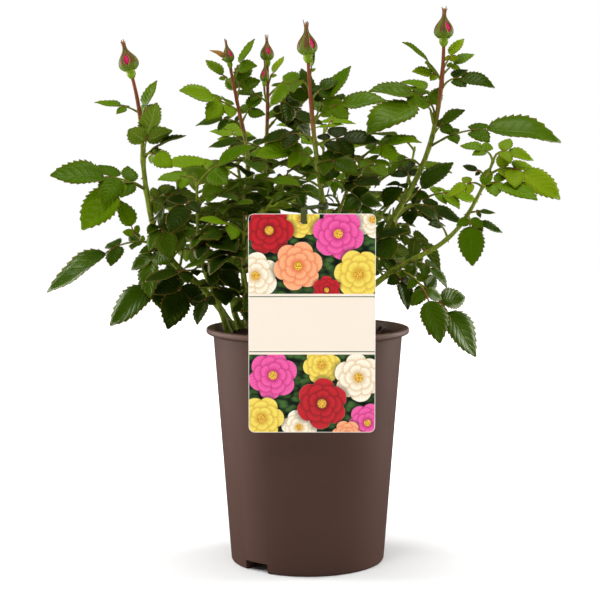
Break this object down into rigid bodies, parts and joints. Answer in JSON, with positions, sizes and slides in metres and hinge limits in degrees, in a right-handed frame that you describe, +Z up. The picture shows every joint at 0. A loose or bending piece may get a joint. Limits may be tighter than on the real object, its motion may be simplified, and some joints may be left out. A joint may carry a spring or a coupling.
{
  "type": "potted rose bush",
  "caption": "Young rose bush with upright and arching canes, compound leaves and closed pink buds, growing in a round tapered plastic nursery pot with a hanging label card.",
  "frame": {"origin": "centre of the pot's flat underside, on the surface that it stands on", "axes": "+Z up the pot's axis; -Y towards the side where the label card hangs; +X to the right as seen from that side"},
  "size_m": [0.4686, 0.3172, 0.5163],
  "materials": {
    "pot_plastic": "satin brown moulded plastic",
    "compost": "dark moist compost with bark chips",
    "label_card": "printed plastic card with a blank cream panel",
    "label_tie": "dark green strap",
    "green_cane": "smooth green bark with prickles",
    "foliage": "green leaves, red-brown young shoots and pink buds"
  },
  "bodies": {
    "root": {"pot": "pot_plastic", "compost": "compost", "label_card": "label_card", "label_tie": "label_tie", "cane_left_outer": "green_cane", "cane_left_inner": "green_cane", "cane_left_upright": "green_cane", "cane_second_bud": "green_cane", "cane_middle_back": "green_cane", "cane_middle_front": "green_cane", "cane_middle_low": "green_cane", "cane_right_tall": "green_cane", "cane_right_inner": "green_cane", "cane_right_low": "green_cane", "cane_back_left": "green_cane", "cane_back_middle": "green_cane", "cane_back_right": "green_cane", "cane_front_left": "green_cane", "foliage_left_outer": "foliage", "foliage_left_inner": "foliage", "foliage_left_upright": "foliage", "foliage_second_bud": "foliage", "foliage_middle_back": "foliage", "foliage_middle_front": "foliage", "foliage_middle_low": "foliage", "foliage_right_tall": "foliage", "foliage_right_inner": "foliage", "foliage_right_low": "foliage", "foliage_back_left": "foliage", "foliage_back_middle": "foliage", "foliage_back_right": "foliage", "foliage_front_left": "foliage"}
  },
  "joints": []
}
